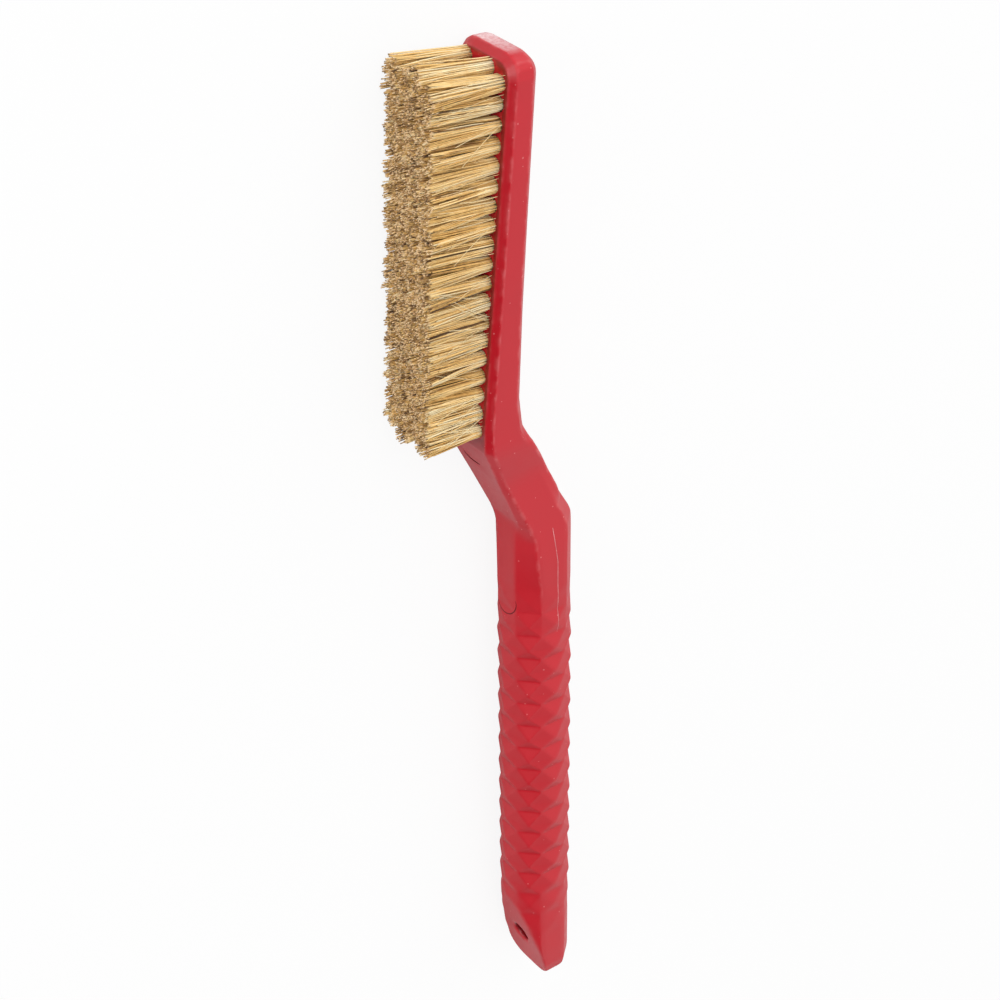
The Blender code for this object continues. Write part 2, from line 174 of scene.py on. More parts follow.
# The relief's depth, the shares of its patterns, and how much smoother a face with painted shade is
RELIEF = 0.012 * MM
GRAIN_SHARE = 0.4
RIPPLE_SHARE = 0.8
SPECK_SHARE = 0.6
PAINTED_SHADE_GLOSS = 0.13
# The part of a noise pattern's range that most of it fills
NOISE_RANGE = (0.35, 0.65)

# Strands: the heights of their rings, and how they differ
STRAND_RISES = np.array((0.0, 0.24, 0.45, 0.72, 1.0))
STRAND_WIDTHS = (0.75, 1.25)
STRAND_SPREAD = 1.2
SPOT_SCATTER = 0.04
CLUMP_REACH = 0.8
TUFT_WIDTH_SCATTER = 0.06
# A strand is long, short, dark or dark at its end when its draw is above these
LONG_DRAW = 0.98
SHORT_DRAW = 0.7
DARK_DRAW = 0.95
DARK_END_DRAW = 0.66
DARK_TONE = 0.45
DARK_END_SHARE = 0.3
ENDING_SCATTER = 0.32
CLUMP_ENDING_SCATTER = 0.14
# A ramp over the distance from a tuft's middle of how shaded its upper strands are
INNER_FADE = ((0.2, 13 / 15), (1.0, 0.0))
UPPER_RISES = 0.6
LOWER_RISES = 0.3
# The loose hairs
STRAY_LENGTHS = (0.55, 0.95)
STRAY_WIDTHS = (0.4, 0.6)
STRAY_TONES = (0.75, 1.0)

# The studio: its white, the side that is left dark, seen from the brush, its lamps with the
# setting that holds their power, and the camera
WHITE = (1.0, 1.0, 1.0, 1.0)
DARK_SIDE = (-0.675, -0.554, 0.488)
LAMP_TARGET = (0.0, -0.075, 0.008)
LAMPS = (
    ("lamp_left", (0.9, 0.9), (-1.12, 0.50, 0.51), "left_power"),
    ("lamp_top", (1.0, 1.0), (-0.20, 0.87, 1.24), "top_power"),
    ("lamp_tip", (0.7, 0.5), (0.72, 1.05, 0.42), "tip_power"),
)
CAMERA_RIGHT = Vector((0.80699, -0.00872, 0.59050))
CAMERA_UP = Vector((0.33282, 0.83271, -0.44253))
CAMERA_BACK = Vector((-0.48786, 0.55364, 0.67489))
CAMERA_PLACE = (-0.23392, 0.21016, 0.33555)
CAMERA_LENS = 86.832


def axes_at(place, *axes):
    """Return the frame at a place that has the three given axes."""
    return Matrix.Translation(place) @ Matrix(axes).transposed().to_4x4()


# The frame of the tufted face: across it, along it and out of it
FACE_ALONG = Vector((math.sin(FACE_TILT), math.cos(FACE_TILT), 0.0))
FACE = axes_at(FACE_LOW_END, Vector((0.0, 0.0, 1.0)), FACE_ALONG, FACE_NORMAL)
FACE_INVERSE = FACE.inverted()


def blend(start, end, share):
    """Return the value that lies the given share of the way from start to end."""
    return start + (end - start) * share


# Shader nodes


class Wire:
    """One value among the nodes, on which sums can be written."""

    def __init__(self, nodes, socket):
        self.nodes = nodes
        self.socket = socket

    def sum(self, operation, first, second):
        """Add a Math node that works on two values."""
        return self.nodes.add("ShaderNodeMath", {"operation": operation}, {0: first, 1: second})

    def __add__(self, other):
        return self.sum("ADD", self, other)

    def __radd__(self, other):
        return self.sum("ADD", other, self)

    def __sub__(self, other):
        return self.sum("SUBTRACT", self, other)

    def __rsub__(self, other):
        return self.sum("SUBTRACT", other, self)

    def __mul__(self, other):
        return self.sum("MULTIPLY", self, other)

    def __rmul__(self, other):
        return self.sum("MULTIPLY", other, self)

    def __lt__(self, other):
        return self.sum("LESS_THAN", self, other)

    def __gt__(self, other):
        return self.sum("GREATER_THAN", self, other)


class Nodes:
    """The nodes of a material or of the room."""

    def __init__(self, tree):
        self.tree = tree

    def add(self, kind, settings=None, values=None, output=0):
        """Add one node, with its settings first, and return one of its outputs."""
        node = self.tree.nodes.new(kind)
        for name, setting in (settings or {}).items():
            if name == "stops":
                self.set_stops(node.color_ramp, setting)
            else:
                setattr(node, name, setting)
        for name, value in (values or {}).items():
            self.put(node.inputs[name], value)
        return Wire(self, node.outputs[output])

    def put(self, socket, value):
        """Link a value into a socket, or set the socket to a plain number or colour."""
        if isinstance(value, Wire):
            self.tree.links.new(value.socket, socket)
        else:
            socket.default_value = value

    def set_stops(self, ramp, stops):
        """Give a colour ramp its stops, as pairs of a place and a colour."""
        while len(ramp.elements) < len(stops):
            ramp.elements.new(1.0)
        for element, (place, colour) in zip(ramp.elements, stops):
            element.position = place
            element.color = colour

    def spread(self, value, low, high, low_out=0.0, high_out=1.0, kind="LINEAR"):
        """Map a value from one range to another and hold it there."""
        values = {0: value, 1: low, 2: high, 3: low_out, 4: high_out}
        return self.add("ShaderNodeMapRange", {"interpolation_type": kind}, values)

    def unless_seen(self, share, plain, white):
        """Mix a shader with another that only the camera sees, by a share."""
        seen = self.add("ShaderNodeLightPath", output="Is Camera Ray")
        return self.add("ShaderNodeMixShader", None, {0: seen * share, 1: plain, 2: white})


class Finish(Nodes):
    """A material and the nodes that make its finish."""

    def __init__(self, name):
        self.material = bpy.data.materials.new(name)
        self.material.use_nodes = True
        super().__init__(self.material.node_tree)
        self.shader = self.tree.nodes["Principled BSDF"]

    def mix(self, share, first, second):
        """Mix two colours by a share."""
        values = {0: share, 6: first, 7: second}
        return self.add("ShaderNodeMix", {"data_type": "RGBA"}, values, output=2)

    def place(self):
        """Return the place on the piece in its object coordinates."""
        return self.add("ShaderNodeTexCoord", output="Object")

    def mark(self, name):
        """Return the value that the piece's corners have under a name."""
        return self.add("ShaderNodeAttribute", {"attribute_name": name}, output="Fac")

    def noise(self, scale, detail=2.0, roughness=0.5):
        """Return a noise pattern with so many waves to the metre."""
        values = {"Vector": self.place(), "Scale": scale, "Detail": detail, "Roughness": roughness}
        return self.add("ShaderNodeTexNoise", None, values)

    def relief(self, height, distance):
        """Turn a height into a bump on the surface."""
        bump = self.add("ShaderNodeBump", None, {"Height": height, "Distance": distance})
        self.put(self.shader.inputs["Normal"], bump)

    def finish(self, **values):
        """Set the shader's sockets, by names whose spaces are written as underscores."""
        for name, value in values.items():
            self.put(self.shader.inputs[name.replace("_", " ")], value)
        return self.material


def add_specks(plastic, edge):
    """Return a mask of fine dusty specks, which gather on the edges' wear and in patches."""
    cells = {"Vector": plastic.place(), "Scale": 950.0}
    near = plastic.add("ShaderNodeTexVoronoi", None, cells, "Distance")
    pick = plastic.add("ShaderNodeTexVoronoi", None, cells, "Color")
    picked = plastic.add("ShaderNodeSeparateColor", None, {0: pick}, "Red")
    patch = plastic.spread(plastic.noise(90.0), 0.42, 0.6)
    size = plastic.spread(plastic.noise(700.0), *NOISE_RANGE, 0.07, 0.2)
    return (near < size) * (picked > SPECK_BAR - edge * SPECKS_ON_EDGES - patch * SPECKS_IN_PATCHES)


def make_plastic(settings):
    """Make the satin red plastic with its fine grain, cloudiness, dusty specks and edge wear, and
    with painted highlights, sheen and shade.
    """
    plastic = Finish("moulded_red_plastic")
    cloud = plastic.noise(55.0, 3.0)
    grain = plastic.noise(5200.0)
    ripple = plastic.noise(420.0)
    edge, scuffed, sunk = (plastic.mark(name) for name in ("edge", "scuffed", "sunk"))
    speck = add_specks(plastic, edge)
    # Wear and a painted highlight lighten the edges, the head's rim and the raised line
    wear_and_highlight = edge * plastic.spread(plastic.noise(330.0, 3.0), 0.42, 0.62)
    # A chalky scuff with a painted highlight on the tip's end, a painted sheen on the neck's front
    # and a painted glint on the raised line
    chalk_and_highlight_share = scuffed * plastic.spread(plastic.noise(1300.0, 3.0, 0.7), 0.36, 0.58, 0.4, 0.8)
    colour = plastic.mix(plastic.spread(cloud, *NOISE_RANGE), settings.shade, settings.red)
    colour = plastic.mix(wear_and_highlight * WEAR_AND_HIGHLIGHT_TINT, colour, settings.dust_and_sheen)
    colour = plastic.mix(speck * SPECK_TINT, colour, settings.dust_and_sheen)
    colour = plastic.mix(chalk_and_highlight_share, colour, settings.chalk_and_highlight)
    # Painted shade darkens the hanging hole, the tufted face and the chamfer round it
    colour = plastic.mix(sunk * PAINTED_SHADE_TINT, colour, settings.deep)
    plastic.relief(grain * GRAIN_SHARE + ripple * RIPPLE_SHARE + speck * SPECK_SHARE, RELIEF)
    satin = plastic.spread(cloud + grain * GRAIN_SHARE, 0.5, 0.9, 0.42, 0.51)
    gloss = plastic.spread(sunk, 0.0, CHAMFER_SHADE, 0.0, PAINTED_SHADE_GLOSS)
    return plastic.finish(Base_Color=colour, Roughness=satin - gloss, IOR=1.5)


def make_line_shade(settings):
    """Make the darker plastic that paints the shade in the bottom of the tuft holes and the mould's
    lines.
    """
    shade = Finish("plastic_in_the_holes")
    cloud = shade.spread(shade.noise(900.0), *NOISE_RANGE)
    colour = shade.mix(cloud, settings.deep, settings.lighter_painted_shade)
    return shade.finish(Base_Color=colour, Roughness=0.6, IOR=1.5)


def make_bristle(settings):
    """Make the natural bristle, whose tone changes from strand to strand and at the cut ends, which
    carry painted shade.
    """
    bristle = Finish("natural_bristle")
    tone, ending, reach = (bristle.mark(name) for name in ("tone", "ending", "reach"))
    streak = bristle.spread(bristle.noise(900.0), 0.3, 0.7, -0.08, 0.08)
    shaft = (
        (0.0, settings.dark),
        (0.15, settings.brown),
        (0.38, settings.gold),
        (0.68, settings.pale),
        (1.0, settings.cream),
    )
    # The cut ends are darker than the shafts: partly tone that differs at random, partly painted
    # shade on the tips' face and in the gaps between them
    cut = (
        (0.0, settings.dark),
        (0.4, settings.brown),
        (0.75, settings.tan),
        (1.0, settings.straw),
    )
    along = bristle.add("ShaderNodeValToRGB", {"stops": shaft}, {0: tone + streak})
    across = bristle.add("ShaderNodeValToRGB", {"stops": cut}, {0: ending})
    tip = bristle.spread(reach, settings.cut_start, 1.0)
    return bristle.finish(Base_Color=bristle.mix(tip, along, across), Roughness=0.45, IOR=1.45)


# Modelling helpers


def select_only(piece):
    """Select one object alone and make it the active one."""
    bpy.ops.object.select_all(action="DESELECT")
    piece.select_set(True)
    bpy.context.view_layer.objects.active = piece


@contextlib.contextmanager
def editing(piece):
    """Edit one object's mesh, with all of it selected at first."""
    select_only(piece)
    bpy.ops.object.mode_set(mode="EDIT")
    bpy.ops.mesh.select_all(action="SELECT")
    yield
    bpy.ops.object.mode_set(mode="OBJECT")


def choose(piece, kind, wanted):
    """In edit mode, select only the verts, edges or faces that a test picks."""
    bpy.ops.mesh.select_mode(type=kind[:-1].upper())
    bpy.ops.mesh.select_all(action="DESELECT")
    mesh = bmesh.from_edit_mesh(piece.data)
    mesh.normal_update()
    for part in getattr(mesh, kind):
        part.select_set(bool(wanted(part)))
    mesh.select_flush_mode()
    bmesh.update_edit_mesh(piece.data)


def apply_modifier(piece, kind, **settings):
    """Give an object a modifier and apply it at once."""
    select_only(piece)
    modifier = piece.modifiers.new(kind.lower(), kind)
    for name, setting in settings.items():
        setattr(modifier, name, setting)
    bpy.ops.object.modifier_apply(modifier=modifier.name)


def settle(piece):
    """Leave an object at the origin, unturned and unscaled, with its place in its mesh."""
    select_only(piece)
    bpy.ops.object.transform_apply(location=True, rotation=True, scale=True)


def add_object(name, data):
    """Add an object with the given mesh or curve to the scene."""
    piece = bpy.data.objects.new(name, data)
    bpy.context.scene.collection.objects.link(piece)
    return piece


def give_materials(piece, *materials):
    """Give a piece its materials in place of those it has."""
    piece.data.materials.clear()
    for material in materials:
        piece.data.materials.append(material)


def hand_over(piece, slot, *nodes):
    """Attach a finished piece to its body and hide the nodes that it stands for; the slot is not
    used.
    """
    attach(piece, BODY)
    if nodes:
        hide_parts(*nodes)


def delete(piece):
    """Delete a helper object and its mesh."""
    mesh = piece.data
    bpy.data.objects.remove(piece, do_unlink=True)
    bpy.data.meshes.remove(mesh)


def weigh(piece, name, weight):
    """Give an object a vertex group whose weights come from the places of its corners."""
    group = piece.vertex_groups.new(name=name)
    for vert in piece.data.vertices:
        share = weight(vert.co)
        if share > 0.0:
            group.add([vert.index], share, "REPLACE")
    return group


def mark(mesh, name, values):
    """Give each corner of a mesh a value that materials can read."""
    layer = mesh.attributes.new(name, "FLOAT", "POINT")
    layer.data.foreach_set("value", values.astype(np.float32))


def read_places(mesh):
    """Return the places of a mesh's corners."""
    places = np.empty(3 * len(mesh.vertices))
    mesh.vertices.foreach_get("co", places)
    return places.reshape(-1, 3)


def write_places(mesh, places):
    """Move a mesh's corners to new places."""
    mesh.vertices.foreach_set("co", places.ravel())
    mesh.update()


def read_normals(mesh):
    """Return the normals at a mesh's corners."""
    normals = np.empty(3 * len(mesh.vertices))
    mesh.vertex_normals.foreach_get("vector", normals)
    return normals.reshape(-1, 3)


def read_folds(mesh, places, normals):
    """Return how sharply the surface folds outwards at each corner, per metre."""
    ends = np.empty(2 * len(mesh.edges), dtype=int)
    mesh.edges.foreach_get("vertices", ends)
    first, second = ends.reshape(-1, 2).T

    def gather(at_first, at_second):
        """Average at every corner what its edges give it."""
        count = len(places)
        total = np.bincount(first, at_first, count) + np.bincount(second, at_second, count)
        links = np.bincount(first, None, count) + np.bincount(second, None, count)
        return total / np.maximum(links, 1)

    step = places[second] - places[first]
    size = np.maximum((step**2).sum(1), 1e-12)
    fold = gather(
        -2 * (step * normals[first]).sum(1) / size, 2 * (step * normals[second]).sum(1) / size
    )
    for _ in range(FOLD_PASSES):
        fold = gather(fold[second], fold[first])
    return fold


def lay_on(piece, start, direction):
    """Return the place where a straight line, whose start is in millimetres, meets a piece."""
    met, place, _, _ = piece.ray_cast(Vector(start) * MM, Vector(direction))
    if not met:
        raise RuntimeError(f"the line from {start} misses {piece.name}")
    return place


def make_tube(name, points, radius, widths):
    """Make a closed thin tube along a row of points, each with its share of the radius."""
    curve = bpy.data.curves.new(name, "CURVE")
    curve.dimensions = "3D"
    curve.bevel_depth = radius
    curve.bevel_resolution = 1
    curve.use_fill_caps = True
    spline = curve.splines.new("POLY")
    spline.points.add(len(points) - 1)
    for knot, point, width in zip(spline.points, points, widths):
        knot.co = (*point, 1.0)
        knot.radius = width
    select_only(add_object(name, curve))
    bpy.ops.object.convert(target="MESH")
    tube = bpy.context.object
    with editing(tube):
        bpy.ops.mesh.remove_doubles(threshold=0.001 * MM)
        bpy.ops.mesh.normals_make_consistent(inside=False)
    return tube


# Handle


def in_box(point, box):
    """Tell whether a point lies in a box on the tufted face."""
    across, along, out = FACE_INVERSE @ point
    half, (low, high), (deep, top) = box
    return abs(across) < half and low < along < high and deep < out < top


def on_tufted_face(face):
    """Tell whether a polygon is part of the tufted face or of one of its pockets."""
    centre = face.calc_center_median()
    level = face.normal.dot(FACE_NORMAL) > LEVEL
    return in_box(centre, POCKETS) or (level and in_box(centre, FLAT))


def close_tufted_face(piece):
    """Take the pockets of the CAD head away and close its face with one flat."""
    choose(piece, "faces", on_tufted_face)
    bpy.ops.mesh.delete(type="FACE")
    bpy.ops.mesh.select_all(action="SELECT")
    bpy.ops.mesh.delete_loose(use_verts=True, use_edges=True, use_faces=False)
    bpy.ops.mesh.select_mode(type="EDGE")
    bpy.ops.mesh.select_all(action="DESELECT")
    bpy.ops.mesh.select_non_manifold()
    bpy.ops.mesh.edge_face_add()
    choose(piece, "verts", lambda vert: in_box(vert.co, FLAT_LOW_END))
    bpy.ops.mesh.vert_connect()


def share_between(value, start, end):
    """Return how far a value lies on the way from start to end, from 0 to 1."""
    return min(max((value - start) / (end - start), 0.0), 1.0)


def fill_out(mesh, push):
    """Push the surface out a little, but not up or down, to where its folds were."""
    places, normals = read_places(mesh), read_normals(mesh)
    share = np.interp(places[:, 1] / MM, *PUSH_FADE)
    share *= np.interp(np.abs(normals[:, 2]), *PUSH_TURNS)
    write_places(mesh, places + normals * (share * push)[:, None])


def mark_edges(mesh, least, most):
    """Note at each corner its edge wear and painted highlight, its scuff, painted highlight and
    sheen, and its painted shade.
    """
    places, normals = read_places(mesh), read_normals(mesh)
    _, row, height = places.T / MM
    across, along, out = (normals @ np.array(axis) for axis in FACE.to_3x3().col)
    on_head = np.interp(row, *HEAD_ROWS)

    fold = read_folds(mesh, places, normals)
    # Wear and a painted highlight on the folds, and a painted highlight along the head's rim
    wear_and_highlight = np.clip((fold - least) / (most - least), 0.0, 1.0) * np.interp(row, *WEAR_AND_HIGHLIGHT_ROWS)
    rim = np.interp(np.abs(out - RIM_TURN), *RIM_BAND) * (np.abs(across) > RIM_SIDE)
    mark(mesh, "edge", np.maximum(wear_and_highlight, rim * on_head))

    # A chalky scuff with a painted highlight on the tip's end, and a painted sheen on the neck's
    # front
    chalk_and_highlight = np.interp(along, *CHALK_AND_HIGHLIGHT_TURNS) * (row > CHALK_AND_HIGHLIGHT_ROW) * np.interp(height, *CHALK_AND_HIGHLIGHT_HEIGHTS)
    dust_and_sheen = np.interp(normals @ np.array(NECK_FRONT_NORMAL), *NECK_SHEEN_TURNS)
    mark(mesh, "scuffed", np.maximum(chalk_and_highlight, dust_and_sheen * np.interp(row, *NECK_SHEEN_ROWS)))

    # Painted shade in the hanging hole, on the tufted face and on the chamfer round it
    beside = np.linalg.norm(places[:, 1:] / MM - np.array(HANGING_HOLE), axis=1)
    bore = np.interp(np.abs(normals[:, 0]), *BORE_TURNS) * (beside < HANGING_HOLE_REACH)
    shade = np.maximum(np.interp(out, *FLAT_TURNS), np.interp(out, *CHAMFER_TURNS))
    mark(mesh, "sunk", np.maximum(bore, shade * on_head))


def neck_reach(piece, along):
    """Return how far the neck's front, back and side reach, in millimetres, at a row."""
    front = lay_on(piece, (-SIGHT_FAR, along, MIDDLE_HEIGHT), (1.0, 0.0, 0.0)).x / MM
    back = lay_on(piece, (SIGHT_FAR, along, MIDDLE_HEIGHT), (-1.0, 0.0, 0.0)).x / MM
    middle = blend(front, back, NECK_WIDEST)
    side = lay_on(piece, (middle, along, SIGHT_FAR), (0.0, 0.0, -1.0)).z / MM
    return front, back, side - MIDDLE_HEIGHT


def shape_neck(piece):
    """Give the neck the real one's narrower front and its sharper back edges."""
    places = read_places(piece.data) / MM
    rows = np.arange(NECK_ROWS[0], NECK_ROWS[1] + NECK_ROW_STEP / 2, NECK_ROW_STEP)
    met = np.array([neck_reach(piece, row) for row in rows])
    near = (places[:, 1] > rows[0]) & (places[:, 1] < rows[-1])
    across, along, height = places[near].T
    front, back, side = (np.interp(along, rows, reach) for reach in met.T)
    flat, corner = (np.interp(along, NECK_PLACES, widths) for widths in (NECK_FLATS, NECK_CORNERS))
    core = blend(front, back, 0.5)
    rise = np.maximum(np.abs(height - MIDDLE_HEIGHT), 1e-6)

    # The line from the flat's edge to the side, as rise * run + forward * climb = level
    forward = np.maximum(core - across, 1e-6)
    depth = core - front
    climb, run = side - flat, corner
    level = depth * climb + flat * run
    ahead = np.minimum(depth / forward, side / rise)
    ahead = np.minimum(ahead, level / (forward * climb + rise * run))

    backward = np.maximum(across - core, 1e-6)
    thick = back - core
    behind = np.minimum(thick / backward, side / rise)
    behind = np.minimum(behind, (thick + side - NECK_BACK_EDGE) / (backward + rise))

    ahead = 1 + (ahead - 1) * np.interp(along, *NECK_FADE)
    behind = 1 + (behind - 1) * np.interp(along, *NECK_BACK_FADE)
    scale = np.where(across < core, ahead, behind)
    across = core + (across - core) * scale
    height = MIDDLE_HEIGHT + (height - MIDDLE_HEIGHT) * scale
    places[near] = np.stack((across, along, height), 1)
    write_places(piece.data, places * MM)


def tuft_centres(half, number):
    """Return the centres of a pair: a tuft of one row and its neighbour in the next."""
    along = number * TUFT_PITCH
    across = FIELD_HALF_WIDTH - half * 2 * ROW_SPACING
    return (across, along), (across - ROW_SPACING, along + TUFT_PITCH / 2)


def all_pairs():
    """List each pair of tufts, as its half of the field and its number in the row."""
    return [(half, number) for half in range(TUFT_ROWS // 2) for number in range(TUFTS_PER_ROW)]


class BRUSH_OT_handle(bpy.types.Operator):
    """Soften the moulded handle and drill its tuft holes"""

    bl_idname = "brush.handle"
    bl_label = "Handle"

    def execute(self, context):
        settings = context.scene.brush_handle
        piece = add_object("handle_moulding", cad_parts[HANDLE].data.copy())
        with editing(piece):
            bpy.ops.mesh.remove_doubles(threshold=0.002 * MM)
            close_tufted_face(piece)
            bpy.ops.mesh.select_all(action="SELECT")
            bpy.ops.mesh.normals_make_consistent(inside=False)
        self.soften(piece, settings)
        mark_edges(piece.data, settings.least_fold, settings.most_fold)
        give_materials(piece, make_plastic(settings), make_line_shade(settings))
        self.score(piece, settings)
        self.drill(piece, settings)
        # The cuts leave needle-thin corners, which would come out as doubled triangles
        with editing(piece):
            bpy.ops.mesh.remove_doubles(threshold=0.02 * MM)
            bpy.ops.mesh.dissolve_degenerate(threshold=0.001 * MM)
            bpy.ops.mesh.quads_convert_to_tris(quad_method="BEAUTY", ngon_method="BEAUTY")
        bpy.ops.object.shade_smooth_by_angle(angle=settings.sharp_angle)
        hand_over(piece, "handle", HANDLE)
        self.lay_parting_lines(piece, settings)
        return {"FINISHED"}

    def soften(self, piece, settings):
        """Round every fold of the moulding, each stretch of it as much as the real one."""
        apply_modifier(piece, "REMESH", mode="VOXEL", voxel_size=settings.mesh_size)
        shape_neck(piece)
        for name, fades in STRETCHES:
            group = weigh(
                piece,
                name,
                lambda place: math.prod(
                    share_between(place.y, start * MM, end * MM) for start, end in fades
                ),
            )
            passes = getattr(settings, name)
            apply_modifier(
                piece, "SMOOTH", factor=0.5, iterations=passes, vertex_group=group.name
            )
        piece.vertex_groups.clear()
        fill_out(piece.data, settings.push)
        triangles = 2 * len(piece.data.polygons)
        share = min(settings.most_triangles / triangles, 1.0)
        apply_modifier(piece, "DECIMATE", decimate_type="COLLAPSE", ratio=share)

    def score(self, piece, settings):
        """Cut the lines that the mould's inserts left in the front of the grip and the neck."""
        along, above = RING_MIDDLE
        ring = [
            (RING_RADIUS * math.cos(turn) + along, RING_RADIUS * math.sin(turn) + above)
            for turn in np.radians(np.arange(*RING_TURNS))
        ]
        for line, radius in ((ring, settings.groove_radius), (NECK_ARC, settings.arc_radius)):
            points = [lay_on(piece, (SIGHT_FRONT, y, z), (1.0, 0.0, 0.0)) for y, z in line]
            ends = np.minimum(np.linspace(0.0, 1.0, len(line)), np.linspace(1.0, 0.0, len(line)))
            widths = np.minimum(LINE_END_WIDTH + ends * LINE_END_GROWTH, 1.0)
            self.cut(piece, make_tube("groove", points, radius, widths))

    def cut(self, piece, cutter):
        """Cut a closed shape out of the moulding and give the cut the piece's second material."""
        give_materials(cutter, None, None)
        # The cut's faces take the dark material that paints their shade
        cutter.data.polygons.foreach_set("material_index", [1] * len(cutter.data.polygons))
        apply_modifier(piece, "BOOLEAN", operation="DIFFERENCE", solver="EXACT", object=cutter)
        delete(cutter)

    def lay_parting_lines(self, handle, settings):
        """Lay the thin raised line of the mould's joint along both sides of the grip."""
        rows = list(PARTING_START)
        last_across, last_along = PARTING_START[-1]
        steps = round((last_along - PARTING_END) / PARTING_STEP)
        rows += [(last_across, last_along - PARTING_STEP * step) for step in range(1, steps + 1)]
        far = np.arange(len(rows)) / len(rows)
        widths = np.interp(far, *PARTING_WIDTHS) + PARTING_WAVE * np.sin(far * PARTING_WAVES)
        for name, height in (("parting_line_top", SIGHT_FAR), ("parting_line_bottom", SIGHT_BELOW)):
            inwards = Vector((0.0, 0.0, MIDDLE_HEIGHT - height)).normalized()
            lift = inwards * settings.line_radius / 2
            points = [
                lay_on(handle, (across, along, height), inwards) + lift for across, along in rows
            ]
            line = make_tube(name, points, settings.line_radius, widths)
            give_materials(line, handle.data.materials[0])
            # The raised line is lightened by a painted highlight and glint
            for label, value in (("edge", 1.0), ("scuffed", PARTING_HIGHLIGHT)):
                mark(line.data, label, np.full(len(line.data.vertices), value))
            line.data.shade_smooth()
            hand_over(line, "handle")

    def drill(self, piece, settings):
        """Cut a blind round hole for each tuft."""
        bpy.ops.mesh.primitive_cylinder_add(
            vertices=settings.hole_sides,
            radius=settings.hole_radius,
            depth=2 * settings.hole_depth,
        )
        master = bpy.context.object
        drills = []
        for pair in all_pairs():
            for across, along in tuft_centres(*pair):
                drills.append(add_object("drill", master.data.copy()))
                drills[-1].matrix_world = FACE @ Matrix.Translation((across, along, 0.0))
        delete(master)
        select_only(drills[0])
        for drill in drills:
            drill.select_set(True)
        bpy.ops.object.join()
        settle(drills[0])
        self.cut(piece, drills[0])


# Bristles


def model_strand():
    """Model one three-sided strand, whose rings stand one unit apart."""
    bpy.ops.mesh.primitive_circle_add(vertices=3, radius=1.0, fill_type="NGON")
    strand = bpy.context.object
    with editing(strand):
        for _ in STRAND_RISES[1:]:
            bpy.ops.mesh.extrude_region_move(TRANSFORM_OT_translate={"value": (0.0, 0.0, 1.0)})
        bpy.ops.mesh.select_all(action="SELECT")
        bpy.ops.mesh.normals_make_consistent(inside=False)
    points = np.array([vert.co for vert in strand.data.vertices])
    faces = [tuple(face.vertices) for face in strand.data.polygons]
    delete(strand)
    return points, faces


def unit_disc(count, random):
    """Spread points evenly over a unit disc, with a little scatter."""
    index = np.arange(count) + 0.5
    radius = np.sqrt(index / count)
    angle = index * GOLDEN_ANGLE + random.uniform(0.0, 2 * math.pi)
    points = np.stack((radius * np.cos(angle), radius * np.sin(angle)), 1)
    return points + random.normal(0.0, SPOT_SCATTER, points.shape)


def bristle_length(along):
    """Return how long the bristles are at a place along the head."""
    return blend(BRISTLE_LENGTH_LOW, BRISTLE_LENGTH_TIP, along / FIELD_LENGTH)


def shape_strands(strand, roots, tips, lengths, radii, settings, random):
    """Bend a copy of the strand from each root to its tip and return its corners and rises."""
    points, _ = strand
    count = len(roots)
    rise = STRAND_RISES[np.rint(points[:, 2]).astype(int)]
    depth = settings.root_depth
    out = -depth + rise[None] * (lengths[:, None] + depth)
    climb = np.clip(out / lengths[:, None], 0.0, 1.0)
    bow = np.sin(climb * math.pi)[..., None] * random.normal(0.0, settings.bow, (count, 1, 2))
    middle = roots[:, None] + (tips - roots)[:, None] * (climb**STRAND_SPREAD)[..., None] + bow
    thick = radii[:, None] * blend(1.0, settings.tip_thinness, climb)
    turn = random.uniform(0.0, 2 * math.pi, (count, 1))
    side_x = points[None, :, 0] * np.cos(turn) - points[None, :, 1] * np.sin(turn)
    side_y = points[None, :, 0] * np.sin(turn) + points[None, :, 1] * np.cos(turn)
    corners = (middle[..., 0] + side_x * thick, middle[..., 1] + side_y * thick, out)
    return np.stack(corners, 2).reshape(-1, 3), np.tile(rise, count)


